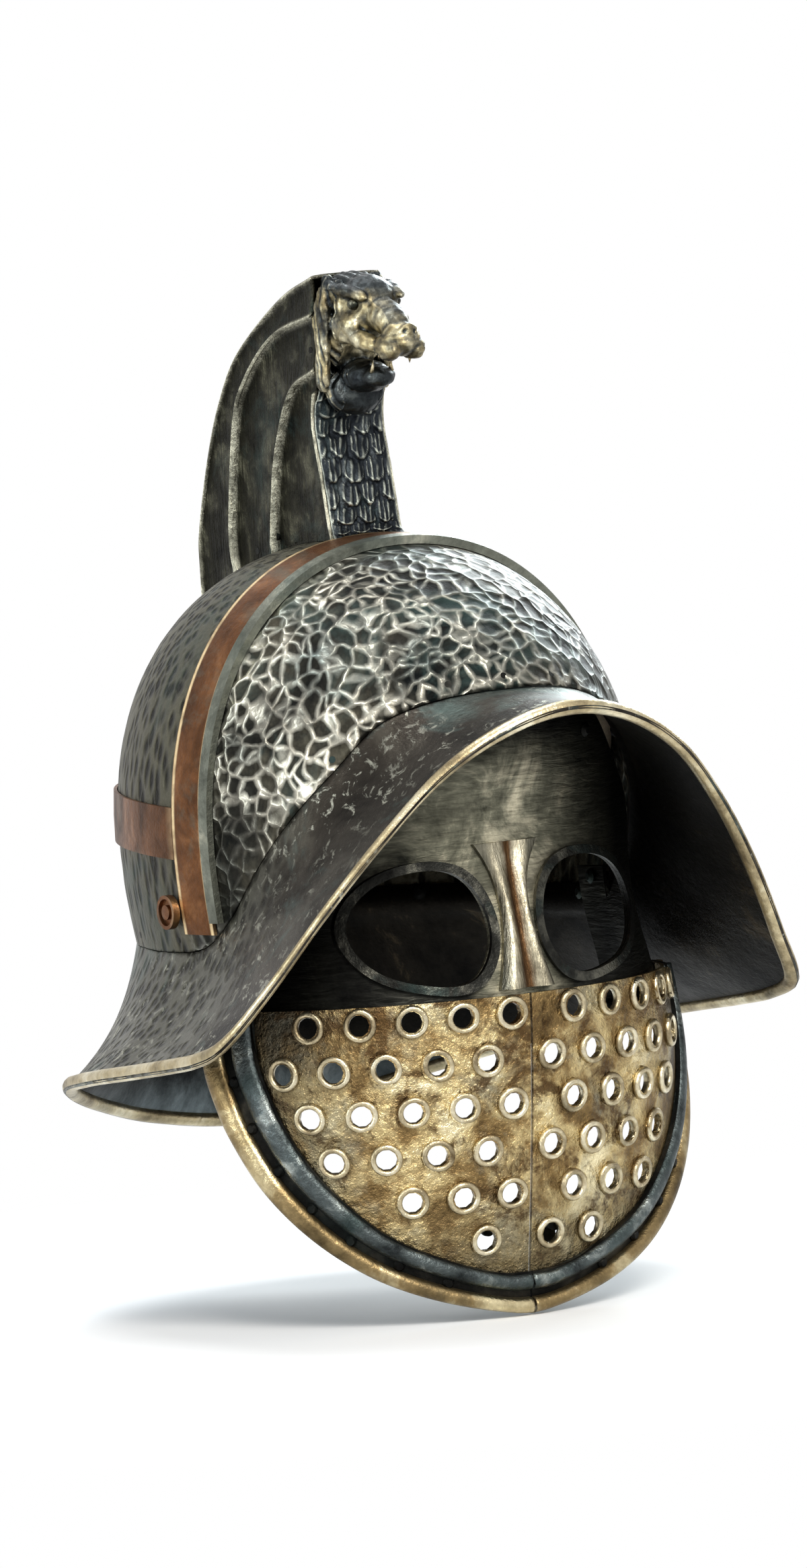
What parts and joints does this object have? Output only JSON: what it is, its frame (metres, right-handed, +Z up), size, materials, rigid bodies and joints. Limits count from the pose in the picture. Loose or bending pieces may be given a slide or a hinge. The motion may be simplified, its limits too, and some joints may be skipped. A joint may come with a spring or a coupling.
{
  "type": "gladiator helmet",
  "caption": "Wide-brimmed arena helmet with a crescent crest ending in a beast head, an eye mask and two hinged, pierced cheek guards with a chin hook.",
  "frame": {"origin": "on the upright axis of the skull cap, level with the cap's lower edge at the sides, where the head holds the helmet", "axes": "the wearer faces -Y, +X is the wearer's left, +Z is up"},
  "size_m": [0.2778, 0.3005, 0.4245],
  "materials": {
    "hammered_bronze": "hammered, dark patina, bright ridges",
    "dark_bronze": "smooth, dark patina",
    "pale_gold": "worn, pale",
    "copper_band": "satin, brown",
    "crest_bronze": "cast and chased, dark patina",
    "beast_bronze": "cast, gold highlights",
    "mask_bronze": "brushed, grey-green",
    "guard_brass": "satin, brown shading",
    "blue_grey_strip": "satin",
    "iron_fittings": "forged, dull",
    "felt": "matted wool",
    "leather": "worn"
  },
  "bodies": {
    "root": {"skull_cap": "hammered_bronze", "brim": "dark_bronze", "brim_binding": "pale_gold", "brim_rivets": "iron_fittings", "crown_band": "copper_band", "crown_bead": "pale_gold", "nape_band": "copper_band", "band_scrolls": "pale_gold", "crest_side_left": "crest_bronze", "crest_side_right": "crest_bronze", "crest_outer_band_left": "crest_bronze", "crest_outer_band_right": "crest_bronze", "crest_inner_band_left": "crest_bronze", "crest_inner_band_right": "crest_bronze", "crest_back": "crest_bronze", "crest_front": "crest_bronze", "crest_feet": "iron_fittings", "crest_saddle": "iron_fittings", "crest_bolt": "iron_fittings", "crest_head": "beast_bronze", "crest_pins": "iron_fittings", "crest_rivets": "iron_fittings", "eye_mask": "mask_bronze", "eye_rim_left": "pale_gold", "eye_rim_right": "pale_gold", "nose_guard": "pale_gold", "mask_brackets": "iron_fittings", "mask_rivets": "iron_fittings", "felt_lining": "felt", "sweatband": "leather", "fixed_leaf_left": "iron_fittings", "fixed_leaf_right": "iron_fittings", "fixed_leaf_rivets": "iron_fittings", "hinge_pin_left": "iron_fittings", "hinge_pin_right": "iron_fittings"},
    "guard_left": {"guard_plate_left": "guard_brass", "guard_frame_left": "dark_bronze", "guard_bead_left": "pale_gold", "guard_strip_left": "blue_grey_strip", "guard_leaf_left": "iron_fittings", "guard_rivets_left": "pale_gold", "latch_post": "iron_fittings"},
    "guard_right": {"guard_plate_right": "guard_brass", "guard_frame_right": "dark_bronze", "guard_bead_right": "pale_gold", "guard_strip_right": "blue_grey_strip", "guard_leaf_right": "iron_fittings", "guard_rivets_right": "pale_gold", "catch_stud": "iron_fittings"},
    "latch": {"latch_hook": "iron_fittings"}
  },
  "joints": [
    {"name": "guard_left_hinge", "type": "hinge", "parent": "root", "child": "guard_left", "pos_m": [0.1016, -0.0284, -0.039], "axis": [0, 0, 1], "range_deg": [0, 25]},
    {"name": "guard_right_hinge", "type": "hinge", "parent": "root", "child": "guard_right", "pos_m": [-0.1016, -0.0284, -0.039], "axis": [0, 0, -1], "range_deg": [0, 25]},
    {"name": "latch_hinge", "type": "hinge", "parent": "guard_left", "child": "latch", "pos_m": [0.013, -0.09, -0.122], "axis": [0, 1, 0], "range_deg": [-15, 90]}
  ]
}
